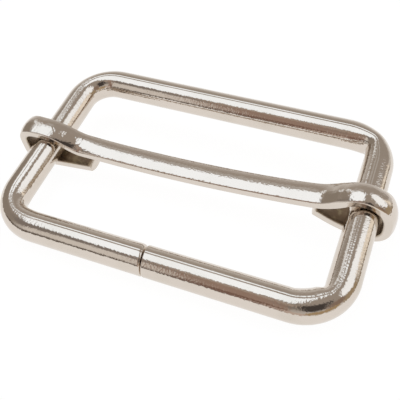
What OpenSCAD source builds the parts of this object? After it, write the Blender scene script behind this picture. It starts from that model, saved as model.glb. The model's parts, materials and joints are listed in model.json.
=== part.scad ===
// Slider for 40 mm webbing. A round wire is bent into a rectangular frame, open at a butt joint
// in its front side. A flat bar crosses it, and its two ends curl round the frame's short sides,
// so that the bar slides along them. The slider is modelled as it lies on a table, on the
// undersides of both curls and on the front wire.

/* [Frame] */
// Clear width between the short sides, which takes the webbing
webbing_w = 40; // [30:1:60]
// Clear depth between the long sides
opening_d = 23; // [20:1:32]
// Thickness of the round wire
wire_d = 4; // [3:0.5:5]
// Radius of the wire's middle line round each corner
corner_r = 5; // [4:0.5:7]
// Width of the butt joint's gap
joint_gap = 0.15; // [0.1:0.05:0.4]
// Place of the butt joint, to the right of the front side's middle
joint_x = -1.1; // [-8:0.1:8]
// Turn of the butt joint away from square to the wire
joint_turn = 5; // [0:1:15]

/* [Bar] */
// Width of the bar
bar_w = 3.2; // [2.6:0.1:4]
// Thickness of the bar from its flat underside to its crown
bar_t = 1.7; // [1.4:0.1:2]
// Height of the bar's edges beside the crown
bar_edge_t = 1.15; // [0.8:0.05:1.3]
// Place of the bar, behind the frame's middle
bar_y = 1.1; // [-3:0.1:3]
// Turn of the bar away from square to the short sides
bar_turn = 2.3; // [0:0.1:3]
// Slope of the bowed middle where its straight ends begin
bow_angle = 4.6; // [2:0.1:7]

/* [Hidden] */
$fa = 2;
$fs = 0.15;

// Half width and half depth of the rectangle that the wire's middle line follows
frame_x = webbing_w / 2 + wire_d / 2;
frame_y = opening_d / 2 + wire_d / 2;

// The curls fit round a 4 mm wire, and grow with a thicker one
curl_scale = wire_d / 4;

// A curl is a row for each bend: the straight run before it, its radius at the flat underside,
// and its angle, which is up when positive and down round the wire when negative
RUN = 0;
RADIUS = 1;
ANGLE = 2;
left_curl = [
    [2.5, 3.2, 31.4],
    [1.2, 4.2, -39],
    [2.15, 0.5, -87],
    [3, 0.8, -94.5]
];
left_tail = 8.2;
right_curl = [
    [1.1, 9, 33.4],
    [0.75, 0.6, -41],
    [0.2, 2.95, -87],
    [1.35, 1.3, -109],
    [2.2, 16, -12]
];
right_tail = 1.2;
// Row of the bend that the curl lies on
lowest_bend = 3;

// The bowed middle, from its half length and its ends' height on the wire's middle plane
bow_half = frame_x - 7.5 * curl_scale;
bow_end_z = -0.175 * curl_scale;
bow_r = bow_half / sin(bow_angle);

// The crown is one arc across the bar
crown_rise = bar_t - bar_edge_t;
crown_r = (pow(bar_w / 2, 2) + pow(crown_rise, 2)) / (2 * crown_rise);

// Bends are this much slimmer than the straight runs, which reach as far into them
bend_step = 0.01;

// A place along the bar is [distance from the middle, height of the underside, slope]
start = [bow_half, bow_end_z, bow_angle];
function ahead(place, run) =
    [place.x + run * cos(place.z), place.y + run * sin(place.z), place.z];
function bend_centre(place, row) =
    let (r = sign(row[ANGLE]) * row[RADIUS] * curl_scale)
    [place.x - r * sin(place.z), place.y + r * cos(place.z)];
function after_bend(place, row) =
    let (r = sign(row[ANGLE]) * row[RADIUS] * curl_scale,
         centre = bend_centre(place, row),
         slope = place.z + row[ANGLE])
    [centre.x + r * sin(slope), centre.y - r * cos(slope), slope];
// Where bend number k of a curl begins, and where its last straight run begins
function bend_start(curl, k) = ahead(run_start(curl, k), curl[k][RUN] * curl_scale);
function run_start(curl, k) = k == 0 ? start : after_bend(bend_start(curl, k - 1), curl[k - 1]);

// How the slider lies: up is the table's upward direction in the frame's own axes
function unit(v) = v / norm(v);
// Turns a direction or a point about the vertical by the bar's turn
function turned(p, angle) =
    [p.x * cos(angle) - p.y * sin(angle), p.x * sin(angle) + p.y * cos(angle), p.z];
// The frame's lowest point
function frame_contact(up) =
    let (flat = unit([up.x, up.y, 0]))
    [-sign(up.x) * (frame_x - corner_r) - corner_r * flat.x,
     -sign(up.y) * (frame_y - corner_r) - corner_r * flat.y, 0] - up * wire_d / 2;
// The lowest point of a curl, on its crown; side is -1 on the left and 1 on the right
function curl_contact(curl, side, up) =
    let (bend = bend_start(curl, lowest_bend),
         centre = bend_centre(bend, curl[lowest_bend]),
         local_up = turned(up, -bar_turn),
         in_plane = unit([local_up.x, 0, local_up.z]),
         reach = curl[lowest_bend][RADIUS] * curl_scale + bar_t - crown_r)
    turned([side * centre.x, 0, centre.y] - in_plane * reach - local_up * crown_r, bar_turn)
    + [0, bar_y, 0];
// The upward direction of the plane through the three lowest points, found in a few passes
function table_up(up, passes) =
    let (left = curl_contact(left_curl, -1, up),
         right = curl_contact(right_curl, 1, up),
         front = frame_contact(up))
    passes == 0 ? up : table_up(unit(cross(right - left, left - front)), passes - 1);
up = table_up(unit([-0.02, 0.15, 1]), 6);
roll = atan2(-up.x, up.z);
pitch = atan2(up.y, norm([up.x, up.z]));
lift = -curl_contact(left_curl, -1, up) * up;

// Half the difference between the curls' reaches, which centres the whole slider
function curl_reach(curl) = run_start(curl, lowest_bend).x + bar_t;
centre_shift = (curl_reach(left_curl) - curl_reach(right_curl)) / 2;

module on_table() {
    translate([centre_shift, 0, lift])
        rotate([pitch, 0, 0])
            rotate([0, roll, 0])
                children();
}

// A straight length of the frame's wire, along X
module wire(length) {
    rotate([0, 90, 0])
        cylinder(d = wire_d, h = length, center = true);
}

module wire_corner() {
    rotate_extrude(angle = 90)
        translate([corner_r, 0])
            circle(d = wire_d);
}

module frame_ring() {
    color("gainsboro")
        on_table()
            difference() {
                for (half = [0, 180])
                    rotate([0, 0, half]) {
                        translate([0, frame_y, 0])
                            wire(2 * (frame_x - corner_r));
                        translate([frame_x, 0, 0])
                            rotate([0, 0, 90])
                                wire(2 * (frame_y - corner_r));
                        translate([frame_x - corner_r, frame_y - corner_r, 0])
                            wire_corner();
                        translate([corner_r - frame_x, frame_y - corner_r, 0])
                            rotate([0, 0, 90])
                                wire_corner();
                    }
                translate([joint_x, -frame_y, 0])
                    rotate([0, 0, joint_turn])
                        cube([joint_gap, 2 * wire_d, 2 * wire_d], center = true);
            }
}

// The bar's cross-section: the flat underside on the Y axis, the crown towards +X
module bar_section(slimmer) {
    intersection() {
        translate([slimmer, slimmer - bar_w / 2])
            square([bar_t, bar_w - 2 * slimmer]);
        translate([bar_t - crown_r, 0])
            circle(r = crown_r - slimmer);
    }
}

// A straight run, lengthened a little into the bends beside it
module bar_run(place, run) {
    translate([place.x, place.y, 0])
        rotate([0, 0, place.z])
            translate([-bend_step, 0, 0])
                rotate([90, 0, 90])
                    linear_extrude(run + 2 * bend_step)
                        bar_section(0);
}

// A bend turns about a centre above the bar when it goes up, and below it when it goes down
module bar_bend(place, row) {
    centre = bend_centre(place, row);
    upward = row[ANGLE] > 0;
    translate([centre.x, centre.y, 0])
        rotate_extrude(angle = abs(row[ANGLE]),
                       start = upward ? place.z - 90 : place.z + 90 + row[ANGLE])
            translate([row[RADIUS] * curl_scale, 0])
                mirror([upward ? 1 : 0, 0])
                    bar_section(bend_step);
}

module curl(rows, tail) {
    for (k = [0 : len(rows) - 1]) {
        bar_run(run_start(rows, k), rows[k][RUN] * curl_scale);
        bar_bend(bend_start(rows, k), rows[k]);
    }
    bar_run(run_start(rows, len(rows)), tail * curl_scale);
}

// The middle of the bar, bowed down between its straight ends
module bow() {
    translate([0, bow_end_z + bow_r * cos(bow_angle), 0])
        rotate_extrude(angle = 2 * bow_angle, start = 270 - bow_angle)
            translate([bow_r, 0])
                mirror([1, 0])
                    bar_section(bend_step);
}

module slide_bar() {
    color("lightgray")
        on_table()
            translate([0, bar_y, 0])
                rotate([90, 0, bar_turn]) {
                    bow();
                    mirror([1, 0, 0])
                        curl(left_curl, left_tail);
                    curl(right_curl, right_tail);
                }
}

frame_ring();
slide_bar();
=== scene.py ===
"""A strap slider of nickel-plated steel: a frame of bent wire and a bar that slides on it."""

import json
import math
from collections import namedtuple

import bmesh
import bpy
from mathutils import Matrix, Vector


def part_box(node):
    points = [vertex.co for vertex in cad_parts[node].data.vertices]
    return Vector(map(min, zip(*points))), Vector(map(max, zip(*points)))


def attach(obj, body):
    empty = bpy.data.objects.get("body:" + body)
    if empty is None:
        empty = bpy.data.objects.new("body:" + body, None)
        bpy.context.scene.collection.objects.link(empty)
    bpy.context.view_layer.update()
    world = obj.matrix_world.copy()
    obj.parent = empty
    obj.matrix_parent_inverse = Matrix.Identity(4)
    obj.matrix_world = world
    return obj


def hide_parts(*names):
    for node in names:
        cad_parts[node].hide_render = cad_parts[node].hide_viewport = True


bl_info = {
    "name": "Strap Slider",
    "version": (1, 0, 0),
    "blender": (4, 5, 0),
    "location": "View3D > Sidebar > Strap Slider",
    "description": "Builds a strap slider with a moving bar, and the studio it lies in",
    "category": "Add Mesh",
}

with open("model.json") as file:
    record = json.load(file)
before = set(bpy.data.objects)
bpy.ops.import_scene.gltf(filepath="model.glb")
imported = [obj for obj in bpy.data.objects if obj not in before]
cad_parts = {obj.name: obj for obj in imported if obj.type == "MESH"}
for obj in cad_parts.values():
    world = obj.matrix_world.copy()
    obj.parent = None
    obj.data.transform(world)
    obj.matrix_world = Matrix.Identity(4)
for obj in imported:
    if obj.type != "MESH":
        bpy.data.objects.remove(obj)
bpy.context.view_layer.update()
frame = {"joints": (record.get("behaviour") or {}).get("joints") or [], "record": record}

MM = 0.001

# A curl of the bar is a row for each bend: the straight run before it and its radius at the flat
# underside, in millimetres, and its angle in degrees, up when positive and down when negative. Its
# tail is the straight run after the last bend
Bend = namedtuple("Bend", "run radius angle")
LEFT_CURL = (
    Bend(2.3, 3.4, 23.5),
    Bend(2.5, 4.2, -27.4),
    Bend(1.79, 0.9, -90.7),
    Bend(2.48, 1, -94.5),
)
LEFT_TAIL = 8.2
RIGHT_CURL = (
    Bend(1.11, 8, 30.8),
    Bend(1.04, 1.8, -38.4),
    Bend(0.06, 2.95, -87),
    Bend(1.35, 1.3, -109),
    Bend(2.2, 16, -12),
)
RIGHT_TAIL = 1.5

# Length over which the bar's bends are drawn out into each other
BEND_SPREAD = 1.2 * MM

# How the bar's section changes from its middle outwards: distance along the bar in millimetres,
# and the heights of its front side, its back side and its crown
Section = namedtuple("Section", "distance front back crown")
LEFT_SECTIONS = (
    Section(0, 1.12, 1.03, 1.48),
    Section(12, 1.1, 1.05, 1.48),
    Section(15.5, 0.98, 1.1, 1.5),
    Section(17.5, 0.8, 1.15, 1.56),
    Section(19, 0.77, 1.05, 1.38),
    Section(20.3, 0.85, 0.95, 1.27),
    Section(21.5, 0.95, 0.88, 1.27),
    Section(23.2, 1, 0.95, 1.36),
    Section(25, 1.05, 1.05, 1.36),
    Section(28, 1.05, 1.05, 1.4),
    Section(30, 1.05, 1.05, 1.46),
    Section(40, 1.1, 1.1, 1.6),
)
RIGHT_SECTIONS = (
    Section(0, 1.12, 1.03, 1.48),
    Section(12, 1.15, 1.08, 1.5),
    Section(14, 1.15, 1.13, 1.52),
    Section(17, 1.2, 1.25, 1.56),
    Section(18.3, 1.32, 1.3, 1.65),
    Section(19.4, 1.4, 1.27, 1.74),
    Section(20.6, 1.18, 1.08, 1.56),
    Section(22, 0.92, 0.88, 1.33),
    Section(23.4, 0.92, 0.88, 1.33),
    Section(25, 1.1, 1.1, 1.5),
    Section(28, 1.12, 1.12, 1.6),
    Section(44, 1.1, 1.1, 1.55),
)

# The frame's four bends, from the front right one round to the front left one: inner radius, and how
# far the inside is swollen before and after the corner, in millimetres
Corner = namedtuple("Corner", "radius before after")
CORNERS = (
    Corner(0.6, 0.9, 0),
    Corner(0.6, 0, 0),
    Corner(2.2, 0, 0),
    Corner(1.5, 0, 0.2),
)

# How far a piece may reach outside the box of the node that it stands for
FIT_TOLERANCE = 0.4 * MM

# Longest turn in one step of a sweep, in degrees
LONGEST_TURN = 5


class FrameSizes(bpy.types.PropertyGroup):
    """Sizes of the wire frame."""

    webbing_w: bpy.props.FloatProperty(
        name="Webbing width",
        description="Clear width between the short sides",
        default=40 * MM,
        unit="LENGTH",
    )
    opening_d: bpy.props.FloatProperty(
        name="Opening depth",
        description="Clear depth between the long sides",
        default=23 * MM,
        unit="LENGTH",
    )
    wire_d: bpy.props.FloatProperty(
        name="Wire thickness",
        description="Thickness of the round wire",
        default=4 * MM,
        unit="LENGTH",
    )
    corner_r: bpy.props.FloatProperty(
        name="Corner radius",
        description="Radius of the wire's middle line round each corner",
        default=5 * MM,
        unit="LENGTH",
    )
    joint_x: bpy.props.FloatProperty(
        name="Joint place",
        description="Place of the butt joint, to the right of the front side's middle",
        default=-1.1 * MM,
        unit="LENGTH",
    )
    joint_gap: bpy.props.FloatProperty(
        name="Joint gap",
        description="Width of the butt joint's gap",
        default=0.15 * MM,
        unit="LENGTH",
    )
    joint_turn: bpy.props.FloatProperty(
        name="Joint turn",
        description="Turn of the butt joint away from square to the wire",
        default=math.radians(5),
        subtype="ANGLE",
    )


class BarSizes(bpy.types.PropertyGroup):
    """Sizes of the sliding bar."""

    width: bpy.props.FloatProperty(
        name="Width",
        description="Width of the bar's flat underside",
        default=3.2 * MM,
        unit="LENGTH",
    )
    thickness: bpy.props.FloatProperty(
        name="Thickness",
        description="Thickness from the flat underside to the crown",
        default=1.7 * MM,
        unit="LENGTH",
    )
    edge_thickness: bpy.props.FloatProperty(
        name="Edge thickness",
        description="Height of the bar's sides beside the crown",
        default=1.15 * MM,
        unit="LENGTH",
    )
    place_y: bpy.props.FloatProperty(
        name="Place",
        description="Place of the bar, behind the frame's middle",
        default=1.1 * MM,
        unit="LENGTH",
    )
    turn: bpy.props.FloatProperty(
        name="Turn",
        description="Turn of the bar away from square to the short sides",
        default=math.radians(2.3),
        subtype="ANGLE",
    )
    bow_angle: bpy.props.FloatProperty(
        name="Bow",
        description="Slope of the bowed middle where its straight ends begin",
        default=math.radians(4.6),
        subtype="ANGLE",
    )


class Finish(bpy.types.PropertyGroup):
    """Colours and smoothness of the nickel plating, and the painted shade inside the bar's curls."""

    nickel: bpy.props.FloatVectorProperty(
        name="Nickel",
        description="Colour of the plating",
        default=(0.68, 0.612, 0.545),
        subtype="COLOR",
    )
    dulled: bpy.props.FloatVectorProperty(
        name="Dulled nickel",
        description="Colour of the plating where it is a little duller",
        default=(0.62, 0.56, 0.485),
        subtype="COLOR",
    )
    # Painted shade: a dark brown put in place of the plating's colour inside the bar's curls, with
    # lighter patches in it
    recess: bpy.props.FloatVectorProperty(
        name="Recess",
        description="Colour of the painted shade inside the curls",
        default=(0.29, 0.22, 0.16),
        subtype="COLOR",
    )
    recess_shade_lighter: bpy.props.FloatVectorProperty(
        name="Lighter recess shade",
        description="Colour of the lighter patches of painted shade inside the curls",
        default=(0.46, 0.39, 0.27),
        subtype="COLOR",
    )
    roughness: bpy.props.FloatProperty(
        name="Roughness",
        description="Roughness of the smooth plating",
        default=0.07,
        min=0,
        max=1,
    )
    grain: bpy.props.FloatProperty(
        name="Grain",
        description="Height of the fine unevenness under the plating",
        default=0.015 * MM,
        unit="LENGTH",
    )


class Studio(bpy.types.PropertyGroup):
    """The floor, the light and the camera."""

    floor: bpy.props.FloatVectorProperty(
        name="Floor",
        description="Colour of the pale floor",
        default=(0.96, 0.96, 0.96),
        subtype="COLOR",
    )
    camera_azimuth: bpy.props.FloatProperty(
        name="Camera azimuth",
        description="Camera's direction round the frame's own middle",
        default=math.radians(28.487),
        subtype="ANGLE",
    )
    camera_elevation: bpy.props.FloatProperty(
        name="Camera elevation",
        description="Camera's height above the frame's own plane",
        default=math.radians(53.569),
        subtype="ANGLE",
    )
    camera_roll: bpy.props.FloatProperty(
        name="Camera roll",
        description="Turn of the camera about its own axis",
        default=math.radians(-8.664),
        subtype="ANGLE",
    )
    camera_distance: bpy.props.FloatProperty(
        name="Camera distance",
        description="Distance from the camera to the point it looks at",
        default=78.503 * MM,
        unit="LENGTH",
    )
    camera_aim: bpy.props.FloatVectorProperty(
        name="Camera aim",
        description="The point on the frame's own plane that the camera looks at",
        default=(1.8822 * MM, -2.9788 * MM, 0),
        subtype="XYZ",
    )
    lens: bpy.props.FloatProperty(
        name="Lens",
        description="Focal length for a sensor 36 mm wide, in millimetres",
        default=54.873,
    )


def slider_axes():
    """The frame's own axes in the row frame: X along its front side, Y to its back, Z up out of it."""
    mounts = {mount["name"]: mount for mount in frame["record"]["mounts"]}
    front = mounts["webbing_bar_front"]
    back = mounts["webbing_bar_back"]
    middle = (Vector(front["pos_m"]) + Vector(back["pos_m"])) / 2
    backward = Vector(frame["joints"][0]["axis"]).normalized()
    upward = Vector(front["axis"]).cross(backward).normalized()
    sideways = backward.cross(upward)
    turn = Matrix((sideways, backward, upward)).transposed()
    return Matrix.Translation(middle) @ turn.to_4x4()


# A ring of a sweep's vertices, its place, which is a matrix whose X axis points along the path, and
# the distance travelled to it
Ring = namedtuple("Ring", "verts place travelled")


class Sweep:
    """Carries a cross-section along a path."""

    def __init__(self, mesh, edges, place):
        self.mesh = mesh
        self.edges = edges
        self.place = place
        self.travelled = 0
        self.rings = [Ring(self.verts_of(edges), place, 0)]

    def verts_of(self, edges):
        return list({vert for edge in edges for vert in edge.verts})

    def step(self, motion, length):
        """Extrudes the last ring by one step, given in the section's own axes."""
        move = self.place @ motion @ self.place.inverted()
        made = bmesh.ops.extrude_edge_only(self.mesh, edges=self.edges)["geom"]
        verts = [part for part in made if isinstance(part, bmesh.types.BMVert)]
        bmesh.ops.transform(self.mesh, matrix=move, verts=verts)
        kept = set(verts)
        self.edges = [
            part
            for part in made
            if isinstance(part, bmesh.types.BMEdge) and kept.issuperset(part.verts)
        ]
        self.place = move @ self.place
        self.travelled += length
        self.rings.append(Ring(verts, self.place, self.travelled))

    def run(self, length, longest_step):
        """A straight run; a negative length goes backwards."""
        steps = max(1, math.ceil(abs(length) / longest_step))
        for _ in range(steps):
            self.step(Matrix.Translation((length / steps, 0, 0)), abs(length) / steps)

    def bend(self, centre, axis, angle, longest_step):
        """A bend about an axis through a centre, both in the section's own axes."""
        length = abs(angle) * centre.length
        turns = math.ceil(abs(math.degrees(angle)) / LONGEST_TURN)
        steps = max(2, math.ceil(length / longest_step), turns)
        turn = Matrix.Rotation(angle / steps, 4, axis)
        motion = Matrix.Translation(centre) @ turn @ Matrix.Translation(-centre)
        for _ in range(steps):
            self.step(motion, length / steps)


def in_own_axes(verts, place):
    """Gives each vertex of a ring with its place in the ring's own axes, and then moves the vertex to
    where that place has been changed to."""
    to_local = place.inverted()
    for vert in verts:
        local = to_local @ vert.co
        yield vert, local
        vert.co = place @ local


def add_piece(name, mesh, material):
    """Makes a finished bmesh an object at the origin, with a smooth surface."""
    bmesh.ops.recalc_face_normals(mesh, faces=mesh.faces)
    for face in mesh.faces:
        face.smooth = True
    data = bpy.data.meshes.new(name)
    mesh.to_mesh(data)
    mesh.free()
    data.materials.append(material)
    piece = bpy.data.objects.new(name, data)
    bpy.context.scene.collection.objects.link(piece)
    return piece


def check_fit(piece, node):
    """Stops the script if a piece has left the box of the node that it stands for."""
    low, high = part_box(node)
    for vert in piece.data.vertices:
        for value, least, most in zip(vert.co, low, high):
            if not least - FIT_TOLERANCE < value < most + FIT_TOLERANCE:
                raise RuntimeError(f"{piece.name} reaches outside the box of {node}")


def ease(value, low, high):
    """A smooth rise from 0 at low to 1 at high."""
    share = min(1, max(0, (value - low) / (high - low)))
    return share * share * (3 - 2 * share)


def row_slope(rows, number, column):
    """Slope of a column of a table at one of its rows: level at its ends and where it turns back."""
    if number in (0, len(rows) - 1):
        return 0
    before, row, after = rows[number - 1 : number + 2]
    rise = (row[column] - before[column]) / (row[0] - before[0])
    next_rise = (after[column] - row[column]) / (after[0] - row[0])
    if rise * next_rise <= 0:
        return 0
    return 2 * rise * next_rise / (rise + next_rise)


def between_rows(rows, at):
    """The columns of a table after its first one, drawn smoothly through its rows."""
    if at >= rows[-1][0]:
        return rows[-1][1:]
    number = next(n for n in range(1, len(rows)) if at < rows[n][0])
    before, after = rows[number - 1], rows[number]
    length = after[0] - before[0]
    share = (at - before[0]) / length
    rest = 1 - share
    values = []
    for column in range(1, len(before)):
        start = rest**2 * (1 + 2 * share) * before[column]
        end = share**2 * (1 + 2 * rest) * after[column]
        leaving = share * rest**2 * length * row_slope(rows, number - 1, column)
        arriving = share**2 * rest * length * row_slope(rows, number, column)
        values.append(start + end + leaving - arriving)
    return values


def inner_reach(angle, first, second, radius):
    """Distance from a bend's centre to its inner outline, which turns a corner of that radius
    between two straight edges, at their own distances from the centre."""
    sine, cosine = math.sin(angle), math.cos(angle)
    if first * sine < (second - radius) * cosine:
        return first / cosine
    if second * cosine < (first - radius) * sine:
        return second / sine
    across = (second - radius) * cosine - (first - radius) * sine
    along = (second - radius) * sine + (first - radius) * cosine
    return along + math.sqrt(max(0, radius**2 - across**2))


class STRAP_SLIDER_OT_frame(bpy.types.Operator):
    """Bends the round wire into the frame, open at its butt joint"""

    bl_idname = "strap_slider.frame"
    bl_label = "Build Frame"

    wire_segments = 72
    coarse_step = 0.35 * MM
    fine_step = 0.05 * MM

    # Length of wire beside the joint over which its turn fades out
    joint_reach = 1.8 * MM

    # Length of wire before and after a bend over which the marks of the bending fade out
    bent_reach = 1.5 * MM

    # The rounded edge of the joint's right side
    right_edge_length = 0.15 * MM
    right_edge_depth = 0.12 * MM

    # The filed edge of the joint's left side: its length in front, how much longer it is behind,
    # between which degrees round the wire it grows, and its depth as a share of its length
    filed_front = 0.25 * MM
    filed_growth = 0.6 * MM
    filed_from = 40
    filed_to = 140
    filed_depth = 0.5

    def execute(self, context):
        sizes = context.scene.slider_frame_sizes
        mesh = bmesh.new()
        inward_layer = mesh.verts.layers.float.new("inward")
        bend_layer = mesh.verts.layers.float.new("bend")
        sweep, bends, first_edges = self.sweep_wire(mesh, sizes)
        for verts, place, _ in sweep.rings:
            to_local = place.inverted()
            for vert in verts:
                vert[inward_layer] = (to_local @ vert.co).y / (sizes.wire_d / 2)
        self.tighten_bends(sizes, sweep, bends, bend_layer)
        self.turn_joint(sizes, sweep)
        self.round_ends(sizes, sweep)
        for edges in (first_edges, sweep.edges):
            bmesh.ops.contextual_create(mesh, geom=edges)
        bmesh.ops.transform(mesh, matrix=slider_axes(), verts=mesh.verts)
        piece = add_piece("wire_frame", mesh, frame_nickel(context.scene.slider_finish))
        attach(piece, "frame")
        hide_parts("frame_ring")
        check_fit(piece, "frame_ring")
        return {"FINISHED"}

    def sweep_wire(self, mesh, sizes):
        """The wire, from the right of the joint round to its left, and the rings of its four bends."""
        half_w = sizes.webbing_w / 2 + sizes.wire_d / 2 - sizes.corner_r
        half_d = sizes.opening_d / 2 + sizes.wire_d / 2 - sizes.corner_r
        begin = sizes.joint_x + sizes.joint_gap / 2
        end = sizes.joint_x - sizes.joint_gap / 2
        start = Matrix.Translation((begin, -half_d - sizes.corner_r, 0))
        circle = bmesh.ops.create_circle(
            mesh,
            radius=sizes.wire_d / 2,
            segments=self.wire_segments,
            matrix=start @ Matrix.Rotation(math.pi / 2, 4, "Y"),
        )
        first_edges = list({edge for vert in circle["verts"] for edge in vert.link_edges})
        sweep = Sweep(mesh, first_edges, start)
        sweep.run(self.joint_reach, self.fine_step)
        sweep.run(half_w - begin - self.joint_reach, self.coarse_step)
        bends = []
        centre = Vector((0, sizes.corner_r, 0))
        for side in (2 * half_d, 2 * half_w, 2 * half_d, half_w + end - self.joint_reach):
            bend_start = len(sweep.rings)
            sweep.bend(centre, "Z", math.pi / 2, self.coarse_step)
            bends.append(sweep.rings[bend_start:])
            sweep.run(side, self.coarse_step)
        sweep.run(self.joint_reach, self.fine_step)
        return sweep, bends, first_edges

    def tighten_bends(self, sizes, sweep, bends, bend_layer):
        """Draws the inside of each bend into a tighter corner, as a wire bent over an edge has."""
        outer = sizes.corner_r + sizes.wire_d / 2
        straight = sizes.corner_r - sizes.wire_d / 2
        for rings, corner in zip(bends, CORNERS):
            # A bend starts a step before its first ring
            start = 2 * rings[0].travelled - rings[1].travelled
            end = rings[-1].travelled
            for verts, place, travelled in sweep.rings:
                from_start, from_end = travelled - start, travelled - end
                if from_start < -self.bent_reach or from_end > self.bent_reach:
                    continue
                angle = math.pi / 2 * min(1, max(0, from_start / (end - start)))
                first = straight - corner.before * MM * min(1, math.tan(angle))
                second = straight - corner.after * MM * min(1, math.tan(math.pi / 2 - angle))
                thickness = outer - inner_reach(angle, first, second, corner.radius * MM)
                bent = ease(min(from_start, -from_end), -self.bent_reach, self.bent_reach)
                for vert, local in in_own_axes(verts, place):
                    from_outer = local.y + sizes.wire_d / 2
                    local.y = from_outer * thickness / sizes.wire_d - sizes.wire_d / 2
                    vert[bend_layer] = bent

    def turn_joint(self, sizes, sweep):
        """Shears both ends of the wire to the joint's turned plane."""
        for verts, place, travelled in sweep.rings:
            from_joint = min(travelled, sweep.travelled - travelled)
            if from_joint > self.joint_reach:
                continue
            share = 1 - from_joint / self.joint_reach
            for _, local in in_own_axes(verts, place):
                local.x -= share * math.tan(sizes.joint_turn) * local.y

    def round_ends(self, sizes, sweep):
        """Rounds the wire's two ends. The left one is filed back further behind than in front."""
        for verts, place, travelled in sweep.rings:
            to_left_end = sweep.travelled - travelled
            right = self.end_inset(travelled, self.right_edge_length, self.right_edge_depth)
            for _, local in in_own_axes(verts, place):
                around = math.degrees(math.atan2(local.z, -local.y))
                behind = ease(around, self.filed_from, self.filed_to)
                filed = self.filed_front + self.filed_growth * behind
                left = self.end_inset(to_left_end, filed, self.filed_depth * filed)
                shrink = 1 - (left + right) / (sizes.wire_d / 2)
                local.y *= shrink
                local.z *= shrink

    def end_inset(self, from_end, length, depth):
        """How far the surface is drawn in at a distance from an end with a round edge."""
        if from_end >= length:
            return 0
        share = 1 - from_end / length
        return depth * (1 - math.sqrt(1 - share * share))


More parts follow.
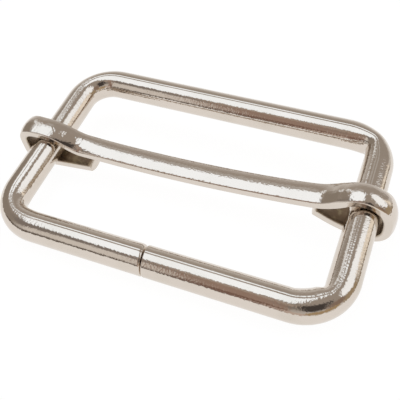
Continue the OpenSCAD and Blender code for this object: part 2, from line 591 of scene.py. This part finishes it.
class STRAP_SLIDER_OT_bar(bpy.types.Operator):
    """Curls the flat bar's ends round the short sides of the frame"""

    bl_idname = "strap_slider.bar"
    bl_label = "Build Bar"

    step = 0.15 * MM
    crown_steps = 20

    # How far inside the short sides' middle lines the bow ends
    curl_room = 7.5 * MM

    # How far the underside lies below the wire's middle at the bow's ends
    bow_drop = 0.175 * MM

    # The rounded edges of the section, and the cuts in each of its flat faces
    top_round = 0.16 * MM
    foot_round = 0.22 * MM
    flat_least = 0.4 * MM
    flat_cuts = 5

    # Samples of the slope to each side of a place, whose mean draws out the bends
    spread_samples = 6
    spread_range = range(-spread_samples, spread_samples + 1)

    # Where along the bar its underside becomes the inside of a curl, which is rougher and painted
    # in dark brown shade, and how far that reaches up the sides
    inside_from = 21 * MM
    inside_to = 24 * MM
    inside_reach = 0.3 * MM

    # The slanted end of the left tail: its length along the bar, its depth at the flat face and
    # the height above that face at which it ends
    slant_length = 2 * MM
    slant_depth = 0.45 * MM
    slant_height = 1.4 * MM

    # The rounded rim of each tail's end
    rim = 0.16 * MM
    rim_step = 0.04 * MM

    def execute(self, context):
        sizes = context.scene.slider_bar_sizes
        frame_sizes = context.scene.slider_frame_sizes
        mesh = bmesh.new()
        inside_layer = mesh.verts.layers.float.new("inside")
        section, start = self.draw_section(mesh, sizes, frame_sizes)
        bow = (sizes.bow_angle, self.half_bow(frame_sizes) / math.sin(sizes.bow_angle))
        left = self.sweep_half(mesh, section, start, bow, -1, LEFT_CURL, LEFT_TAIL)
        right = self.sweep_half(mesh, section, start, bow, 1, RIGHT_CURL, RIGHT_TAIL)
        self.shape_section(sizes, left.rings, LEFT_SECTIONS, inside_layer)
        self.shape_section(sizes, right.rings[1:], RIGHT_SECTIONS, inside_layer)
        for half in (left, right):
            self.round_end(sizes, half.rings)
        self.slant_left_end(left.rings)
        for half in (left, right):
            bmesh.ops.contextual_create(mesh, geom=half.edges)
        bmesh.ops.transform(mesh, matrix=slider_axes(), verts=mesh.verts)
        piece = add_piece("bar_strip", mesh, bar_nickel(context.scene.slider_finish))
        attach(piece, "bar")
        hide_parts("slide_bar")
        check_fit(piece, "slide_bar")
        return {"FINISHED"}

    def draw_section(self, mesh, sizes, frame_sizes):
        """The cross-section at the bar's middle: a flat underside, upright sides and a round crown."""
        rise = sizes.thickness - sizes.edge_thickness
        half_w = sizes.width / 2
        crown_r = (half_w**2 + rise**2) / (2 * rise)
        crown_half = math.asin(half_w / crown_r)
        bow_r = self.half_bow(frame_sizes) / math.sin(sizes.bow_angle)
        drop = -self.bow_drop - bow_r * (1 - math.cos(sizes.bow_angle))
        start = (
            Matrix.Translation((0, sizes.place_y, 0))
            @ Matrix.Rotation(sizes.turn, 4, "Z")
            @ Matrix.Translation((0, 0, drop))
        )
        corner = mesh.verts.new((0, half_w, sizes.edge_thickness))
        crown = bmesh.ops.spin(
            mesh,
            geom=[corner],
            cent=(0, 0, sizes.thickness - crown_r),
            axis=(1, 0, 0),
            angle=2 * crown_half,
            steps=self.crown_steps,
        )
        far_corner = next(v for v in crown["geom_last"] if isinstance(v, bmesh.types.BMVert))
        far_foot = mesh.verts.new((0, -half_w, 0))
        foot = mesh.verts.new((0, half_w, 0))
        for pair in ((far_corner, far_foot), (far_foot, foot), (foot, corner)):
            mesh.edges.new(pair)
        for corners, radius in (
            ([corner, far_corner], self.top_round),
            ([foot, far_foot], self.foot_round),
        ):
            bmesh.ops.bevel(
                mesh,
                geom=corners,
                offset=radius,
                affect="VERTICES",
                segments=3,
                profile=0.5,
                material=-1,
            )
        flats = [edge for edge in mesh.edges if edge.calc_length() > self.flat_least]
        bmesh.ops.subdivide_edges(mesh, edges=flats, cuts=self.flat_cuts)
        bmesh.ops.transform(mesh, matrix=start, verts=mesh.verts)
        return list(mesh.edges), start

    def half_bow(self, frame_sizes):
        """Half the width of the bar's bowed middle."""
        return (frame_sizes.webbing_w + frame_sizes.wire_d) / 2 - self.curl_room

    def sweep_half(self, mesh, section, start, bow, side, rows, tail):
        """Half of the bow, which is given by its slope and radius, then the curl, then the tail."""
        bow_angle, bow_r = bow
        turned = [(0, 0), (bow_r * bow_angle, bow_angle)]
        for row in rows:
            distance, heading = turned[-1]
            angle = math.radians(row.angle)
            turned.append((distance + row.run * MM, heading))
            turned.append((turned[-1][0] + row.radius * MM * abs(angle), heading + angle))
        length = turned[-1][0] + tail * MM - self.rim
        steps = math.ceil(length / self.step)
        headings = [self.drawn_heading(turned, length * n / steps) for n in range(steps + 1)]
        move = Matrix.Translation((side * length / steps, 0, 0))
        sweep = Sweep(mesh, section, start)
        for before, after in zip(headings, headings[1:]):
            half_turn = Matrix.Rotation(-side * (after - before) / 2, 4, "Y")
            sweep.step(half_turn @ move @ half_turn, length / steps)
        sweep.run(side * self.rim, self.rim_step)
        return sweep

    def drawn_heading(self, turned, distance):
        """Slope of the bar at a distance from its middle, with its bends drawn out."""
        reach = BEND_SPREAD / 2
        samples = [distance + reach * n / self.spread_samples for n in self.spread_range]
        return sum(self.heading_at(turned, place) for place in samples) / len(samples)

    def heading_at(self, turned, distance):
        """Slope at a distance from the middle, on either side of it, before the bends are drawn out."""
        away = abs(distance)
        for (near, heading), (far, next_heading) in zip(turned, turned[1:]):
            if away < far:
                slope = heading + (next_heading - heading) * (away - near) / (far - near)
                return slope * math.copysign(1, distance)
        return turned[-1][1]

    def shape_section(self, sizes, rings, table, inside_layer):
        """Changes the heights of both sides and of the crown along the bar."""
        rise = sizes.thickness - sizes.edge_thickness
        for verts, place, travelled in rings:
            front, back, crown = (height * MM for height in between_rows(table, travelled / MM))
            curled = ease(travelled, self.inside_from, self.inside_to)
            for vert, local in in_own_axes(verts, place):
                # Marks the inside of a curl, which is given painted shade and a rougher finish
                vert[inside_layer] = curled * ease(local.z, self.inside_reach, 0)
                side = (front + back) / 2 + (back - front) * local.y / sizes.width
                if local.z <= sizes.edge_thickness:
                    local.z *= side / sizes.edge_thickness
                else:
                    bulge = (local.z - sizes.edge_thickness) / rise
                    local.z = side + bulge * (crown - (front + back) / 2)

    def slant_left_end(self, rings):
        """Cuts the end of the left tail at a slant, shorter at the flat face than at the crown."""
        end = rings[-1].travelled
        for verts, place, travelled in rings:
            share = 1 - (end - travelled) / self.slant_length
            if share <= 0:
                continue
            for _, local in in_own_axes(verts, place):
                below = max(0, 1 - local.z / self.slant_height)
                local.x += share * self.slant_depth * below

    def round_end(self, sizes, rings):
        """Rounds the rim of a tail's end."""
        end = rings[-1].travelled
        for verts, place, travelled in rings:
            share = 1 - (end - travelled) / self.rim
            if share <= 0:
                continue
            inset = self.rim * (1 - math.sqrt(1 - share * share))
            to_local = place.inverted()
            middle = sum((to_local @ vert.co).z for vert in verts) / len(verts)
            for _, local in in_own_axes(verts, place):
                local.y *= 1 - inset / (sizes.width / 2)
                local.z += (middle - local.z) * inset / (sizes.thickness / 2)


class Value:
    """A socket in an expression. The operators on it add the Math nodes that work them out."""

    def __init__(self, nodes, socket):
        self.nodes = nodes
        self.socket = socket

    def __add__(self, other):
        return self.nodes.math("ADD", self, other)

    def __radd__(self, other):
        return self.nodes.math("ADD", other, self)

    def __sub__(self, other):
        return self.nodes.math("SUBTRACT", self, other)

    def __rsub__(self, other):
        return self.nodes.math("SUBTRACT", other, self)

    def __mul__(self, other):
        return self.nodes.math("MULTIPLY", self, other)

    def __rmul__(self, other):
        return self.nodes.math("MULTIPLY", other, self)

    def __truediv__(self, other):
        return self.nodes.math("DIVIDE", self, other)

    def __rtruediv__(self, other):
        return self.nodes.math("DIVIDE", other, self)


# A Mix node's colour sockets share their names with its other ones, so they go by number
MIX_FACTOR = 0
MIX_FIRST = 6
MIX_SECOND = 7
MIX_RESULT = 2


class Nodes:
    """Adds nodes to a material's or a world's tree."""

    def __init__(self, owner):
        owner.use_nodes = True
        self.tree = owner.node_tree
        self.tree.nodes.clear()

    def node(self, kind, settings=None, **inputs):
        """Adds a node: its settings first, then its sockets by name or number."""
        made = self.tree.nodes.new(kind)
        for name, value in (settings or {}).items():
            setattr(made, name, value)
        for name, value in inputs.items():
            self.feed(made, name.replace("_", " "), value)
        return made

    def feed(self, made, name, value):
        """Links a value to a socket, or sets a number, vector or colour on it."""
        socket = made.inputs[name]
        if isinstance(value, Value):
            self.tree.links.new(value.socket, socket)
        else:
            socket.default_value = value

    def output(self, made, name=0):
        return Value(self, made.outputs[name])

    def math(self, operation, *values):
        made = self.node("ShaderNodeMath", {"operation": operation})
        for number, value in enumerate(values):
            self.feed(made, number, value)
        return self.output(made)

    def dot(self, vector, direction):
        made = self.node("ShaderNodeVectorMath", {"operation": "DOT_PRODUCT"})
        self.feed(made, 0, vector)
        self.feed(made, 1, direction)
        return self.output(made, "Value")

    def rise(self, value, low, high):
        """A smooth rise from 0 at low to 1 at high, or a fall where high is the smaller."""
        made = self.node("ShaderNodeMapRange", {"interpolation_type": "SMOOTHSTEP"}, Value=value)
        if low < high:
            self.feed(made, "From Min", low)
            self.feed(made, "From Max", high)
            return self.output(made)
        self.feed(made, "From Min", high)
        self.feed(made, "From Max", low)
        return 1 - self.output(made)

    def mix(self, factor, first, second):
        """A colour between two others."""
        made = self.node("ShaderNodeMix", {"data_type": "RGBA"})
        self.feed(made, MIX_FACTOR, factor)
        self.feed(made, MIX_FIRST, first)
        self.feed(made, MIX_SECOND, second)
        return self.output(made, MIX_RESULT)

    def attribute(self, name):
        """A value kept at the mesh's vertices."""
        return self.output(self.node("ShaderNodeAttribute", {"attribute_name": name}), "Fac")

    def noise(self, vector, scale, detail):
        """Unevenness from 0 to 1. The scale is in waves to the metre."""
        made = self.node("ShaderNodeTexNoise", Vector=vector, Scale=scale, Detail=detail)
        return self.output(made)


# How fine the finish's unevenness is, in waves to the metre, and what range of it shows
BLOTCH_SCALE = 260
BLOTCH_RANGE = (0.42, 0.68)
RIPPLE_SCALE = 700
# The mottle gives random lighter patches in the painted shade inside the curls
MOTTLE_SCALE = 900
MOTTLE_RANGE = (0.45, 0.7)
FRAME_GRAIN_SCALE = 3800
BAR_GRAIN_SCALE = 3600

# Strengths of the finish's unevenness. Those of grain and ripple, and the die line's depth, are in
# units of the finish's grain
FRAME_BLOTCH = 0.5
BAR_BLOTCH = 0.3
BLOTCH_ROUGHNESS = 0.05
INSIDE_ROUGHNESS = 0.35
FRAME_GRAIN = 0.85
BENT_GRAIN = 0.5
BAR_GRAIN = 1.5
FRAME_RIPPLE = 0.8
BAR_RIPPLE = 0.5

# Places across the wire go from -1 at its outside to 1 at its inside. The coarser grain of a bend
# covers its inner side, and the wire's drawing has left a fine line along it
BENT_RANGE = (-0.55, 0.1)
DIE_LINE_PLACE = 0.08
DIE_LINE_REACH = 0.09
DIE_LINE_DEPTH = 1.2


def opaque(colour):
    """A colour with the full opacity that a colour socket takes as its fourth number."""
    return (*colour, 1)


def nickel(nodes, finish, colour, rougher, height):
    """Bright nickel plating over drawn steel, with its height in units of the finish's grain."""
    bump = nodes.node("ShaderNodeBump", Strength=1.0, Distance=finish.grain, Height=height)
    shader = nodes.node(
        "ShaderNodeBsdfPrincipled",
        Base_Color=colour,
        Metallic=1.0,
        Roughness=finish.roughness + rougher,
        Normal=nodes.output(bump),
    )
    nodes.node("ShaderNodeOutputMaterial", Surface=nodes.output(shader))


def frame_nickel(finish):
    """The wire's plating: a die line along the wire, and coarser grain inside its bends."""
    material = bpy.data.materials.new("frame_nickel")
    nodes = Nodes(material)
    place = nodes.output(nodes.node("ShaderNodeTexCoord"), "Object")
    blotch = nodes.rise(nodes.noise(place, BLOTCH_SCALE, 3), *BLOTCH_RANGE) * FRAME_BLOTCH
    inward = nodes.attribute("inward")
    bent = nodes.attribute("bend") * nodes.rise(inward, *BENT_RANGE)
    grain = nodes.noise(place, FRAME_GRAIN_SCALE, 1) * (FRAME_GRAIN + bent * BENT_GRAIN)
    ripple = nodes.noise(place, RIPPLE_SCALE, 1) * FRAME_RIPPLE
    away = nodes.math("ABSOLUTE", inward - DIE_LINE_PLACE)
    line = nodes.rise(away, DIE_LINE_REACH, 0) * DIE_LINE_DEPTH
    colour = nodes.mix(blotch, opaque(finish.nickel), opaque(finish.dulled))
    nickel(nodes, finish, colour, blotch * BLOTCH_ROUGHNESS, grain + ripple - line)
    return material


def bar_nickel(finish):
    """The bar's plating: rougher inside the curls, with dark brown painted shade there."""
    material = bpy.data.materials.new("bar_nickel")
    nodes = Nodes(material)
    place = nodes.output(nodes.node("ShaderNodeTexCoord"), "Object")
    blotch = nodes.rise(nodes.noise(place, BLOTCH_SCALE, 3), *BLOTCH_RANGE) * BAR_BLOTCH
    grain = nodes.noise(place, BAR_GRAIN_SCALE, 1) * BAR_GRAIN
    ripple = nodes.noise(place, RIPPLE_SCALE, 1) * BAR_RIPPLE
    outside = nodes.mix(blotch, opaque(finish.nickel), opaque(finish.dulled))
    # Inside the curls the colour is painted shade: dark brown, mottled at random with lighter patches
    mottle = nodes.rise(nodes.noise(place, MOTTLE_SCALE, 3), *MOTTLE_RANGE)
    recess_shade_colour = nodes.mix(mottle, opaque(finish.recess), opaque(finish.recess_shade_lighter))
    inside = nodes.attribute("inside")
    colour = nodes.mix(inside, outside, recess_shade_colour)
    rougher = blotch * BLOTCH_ROUGHNESS + inside * INSIDE_ROUGHNESS
    nickel(nodes, finish, colour, rougher, grain + ripple)
    return material


# The floor's own dull grey, which takes the shadows, and the strength of its glow
FLOOR_GREY = (0.12, 0.12, 0.12)
FLOOR_GLOW = 0.98


def floor_material(studio):
    """A pale floor that is partly lit from below, as a light table is."""
    material = bpy.data.materials.new("floor_white")
    nodes = Nodes(material)
    shader = nodes.node(
        "ShaderNodeBsdfPrincipled",
        Base_Color=opaque(FLOOR_GREY),
        Roughness=1.0,
        Emission_Color=opaque(studio.floor),
        Emission_Strength=FLOOR_GLOW,
    )
    nodes.feed(shader, "Specular IOR Level", 0)
    nodes.node("ShaderNodeOutputMaterial", Surface=nodes.output(shader))
    return material


def towards(azimuth, elevation):
    """A direction: azimuth from the front to the right, and elevation, in degrees."""
    around = math.radians(azimuth)
    above = math.radians(elevation)
    return Vector(
        (
            math.sin(around) * math.cos(above),
            -math.cos(around) * math.cos(above),
            math.sin(above),
        )
    )


# A card is a patch of the studio's surroundings: where its middle is, how far it reaches to each
# side and up and down, how far it is turned about its middle, how soft its edge is, all in
# degrees, and the light that it gives. A later card hides an earlier one
Card = namedtuple("Card", "azimuth elevation half_width half_height turn softness colour")
CARDS = (
    Card(-88, 22, 32, 26, 0, 9, (0.33, 0.29, 0.25)),
    Card(-158, 53, 11, 6, 0, 4, (0.55, 0.53, 0.51)),
    Card(98, 14, 18, 14, 0, 6, (0.42, 0.33, 0.22)),
    Card(70, 27, 16, 14, 0, 6, (0.30, 0.22, 0.17)),
    Card(46, 11, 26, 9, 0, 4, (0.46, 0.34, 0.20)),
    Card(-32, 50, 28, 20, 0, 7, (0.27, 0.24, 0.22)),
    Card(-12, 55, 14, 8, 0, 5, (0.47, 0.39, 0.335)),
    Card(-28, 25, 9.5, 15, -12, 5, (0.80, 0.765, 0.73)),
    Card(-12, 27, 7.5, 25, -12, 6, (0.38, 0.27, 0.22)),
    Card(-43, 0, 31, 10, 0, 8, (0.13, 0.1, 0.078)),
    Card(-9.5, 11, 9, 9, 0, 6, (0.22, 0.135, 0.105)),
    Card(6, 8, 14, 8, 0, 4, (0.64, 0.53, 0.47)),
    Card(34, 44, 16, 19, 0, 6, (0.075, 0.065, 0.06)),
    Card(116, 47, 22, 16, -34, 4, (1.25, 1.33, 1.42)),
    Card(125, 20, 5, 13, 0, 3, (1.1, 1.02, 0.9)),
    Card(120, 2, 14, 4, 0, 3, (0.30, 0.23, 0.14)),
    Card(156, 40, 15, 30, 44, 3, (0.42, 0.376, 0.338)),
    Card(-127, 46, 3.5, 13, 14, 2, (1.0, 1.05, 1.1)),
    Card(-88, 73, 24, 17.8, 0, 2.5, (1.29, 1.41, 1.54)),
)

# A card's corners are cut off where the distances from its middle, as shares of its reach to the
# side and upwards, add up to between these values
CARD_CUT_FROM = 1.5
CARD_CUT_TO = 1.75

# The room's light at the horizon and above, and the sine of the elevation where it has changed
ROOM_LOW = (0.74, 0.72, 0.70)
ROOM_HIGH = (0.41, 0.362, 0.32)
ROOM_CHANGED = 0.75


def card_mask(nodes, direction, card):
    """1 inside a card, 0 outside it, as seen from the slider."""
    middle = towards(card.azimuth, card.elevation)
    level = towards(card.azimuth + 90, 0)
    turn = Matrix.Rotation(math.radians(-card.turn), 3, middle)
    sideways = turn @ level
    upward = turn @ level.cross(middle)
    # The card would show mirrored in the directions away from it, so they are left out
    ahead = nodes.dot(direction, middle)
    mask = nodes.rise(ahead, 0, 0.1)
    corner = 0
    for axis, half in ((sideways, card.half_width), (upward, card.half_height)):
        inner = math.tan(math.radians(max(0, half - card.softness)))
        outer = math.tan(math.radians(half + card.softness))
        away = nodes.math("ABSOLUTE", nodes.dot(direction, axis) / ahead)
        mask = mask * nodes.rise(away, outer, inner)
        corner = away / math.tan(math.radians(half)) + corner
    return mask * nodes.rise(corner, CARD_CUT_TO, CARD_CUT_FROM)


def studio_world(studio):
    """The surroundings that the nickel reflects: a grey room with dark, grey and bright cards."""
    world = bpy.data.worlds.new("studio")
    nodes = Nodes(world)
    direction = nodes.output(nodes.node("ShaderNodeTexCoord"), "Generated")
    height = nodes.rise(nodes.dot(direction, (0, 0, 1)), 0, ROOM_CHANGED)
    light = nodes.mix(height, opaque(ROOM_LOW), opaque(ROOM_HIGH))
    for card in CARDS:
        light = nodes.mix(card_mask(nodes, direction, card), light, opaque(card.colour))
    seen = nodes.output(nodes.node("ShaderNodeLightPath"), "Is Camera Ray")
    light = nodes.mix(seen, light, opaque(studio.floor))
    background = nodes.node("ShaderNodeBackground", Color=light)
    nodes.node("ShaderNodeOutputWorld", Surface=nodes.output(background))
    return world


class STRAP_SLIDER_OT_stage(bpy.types.Operator):
    """Lays the pale floor, sets the studio's light and places the camera"""

    bl_idname = "strap_slider.stage"
    bl_label = "Build Stage"

    floor_half = 3.0
    sensor_width = 36

    def execute(self, context):
        studio = context.scene.slider_studio
        self.lay_floor(context, studio)
        context.scene.world = studio_world(studio)
        context.scene.view_settings.view_transform = "Standard"
        self.place_camera(context, studio)
        return {"FINISHED"}

    def lay_floor(self, context, studio):
        mesh = bmesh.new()
        bmesh.ops.create_grid(mesh, x_segments=1, y_segments=1, size=self.floor_half)
        data = bpy.data.meshes.new("floor")
        mesh.to_mesh(data)
        mesh.free()
        data.materials.append(floor_material(studio))
        floor = bpy.data.objects.new("floor", data)
        context.scene.collection.objects.link(floor)

    def place_camera(self, context, studio):
        data = bpy.data.cameras.new("camera")
        data.sensor_width = self.sensor_width
        data.lens = studio.lens
        data.clip_start = 1 * MM
        camera = bpy.data.objects.new("camera", data)
        context.scene.collection.objects.link(camera)
        away = towards(math.degrees(studio.camera_azimuth), math.degrees(studio.camera_elevation))
        level = Vector((math.cos(studio.camera_azimuth), math.sin(studio.camera_azimuth), 0))
        upright = Matrix((level, away.cross(level), away)).transposed().to_4x4()
        turn = upright @ Matrix.Rotation(studio.camera_roll, 4, "Z")
        place = Matrix.Translation(Vector(studio.camera_aim) + away * studio.camera_distance)
        camera.matrix_world = slider_axes() @ place @ turn
        context.scene.camera = camera


class STRAP_SLIDER_PT_panel(bpy.types.Panel):
    """Lists the slider's pieces and their sizes"""

    bl_idname = "STRAP_SLIDER_PT_panel"
    bl_label = "Strap Slider"
    bl_space_type = "VIEW_3D"
    bl_region_type = "UI"
    bl_category = "Strap Slider"

    def draw(self, context):
        for operator in OPERATORS:
            self.layout.operator(operator.bl_idname)
        for name in PROPERTY_GROUPS:
            group = getattr(context.scene, name)
            box = self.layout.box()
            for size in group.__annotations__:
                box.prop(group, size)


PROPERTY_GROUPS = {
    "slider_frame_sizes": FrameSizes,
    "slider_bar_sizes": BarSizes,
    "slider_finish": Finish,
    "slider_studio": Studio,
}
OPERATORS = (STRAP_SLIDER_OT_frame, STRAP_SLIDER_OT_bar, STRAP_SLIDER_OT_stage)
CLASSES = (*PROPERTY_GROUPS.values(), *OPERATORS, STRAP_SLIDER_PT_panel)


def register():
    for cls in CLASSES:
        bpy.utils.register_class(cls)
    for name, group in PROPERTY_GROUPS.items():
        setattr(bpy.types.Scene, name, bpy.props.PointerProperty(type=group))


def unregister():
    for name in PROPERTY_GROUPS:
        delattr(bpy.types.Scene, name)
    for cls in reversed(CLASSES):
        bpy.utils.unregister_class(cls)


def main():
    register()
    bpy.ops.strap_slider.frame()
    bpy.ops.strap_slider.bar()
    bpy.ops.strap_slider.stage()


if __name__ == "__main__":
    main()
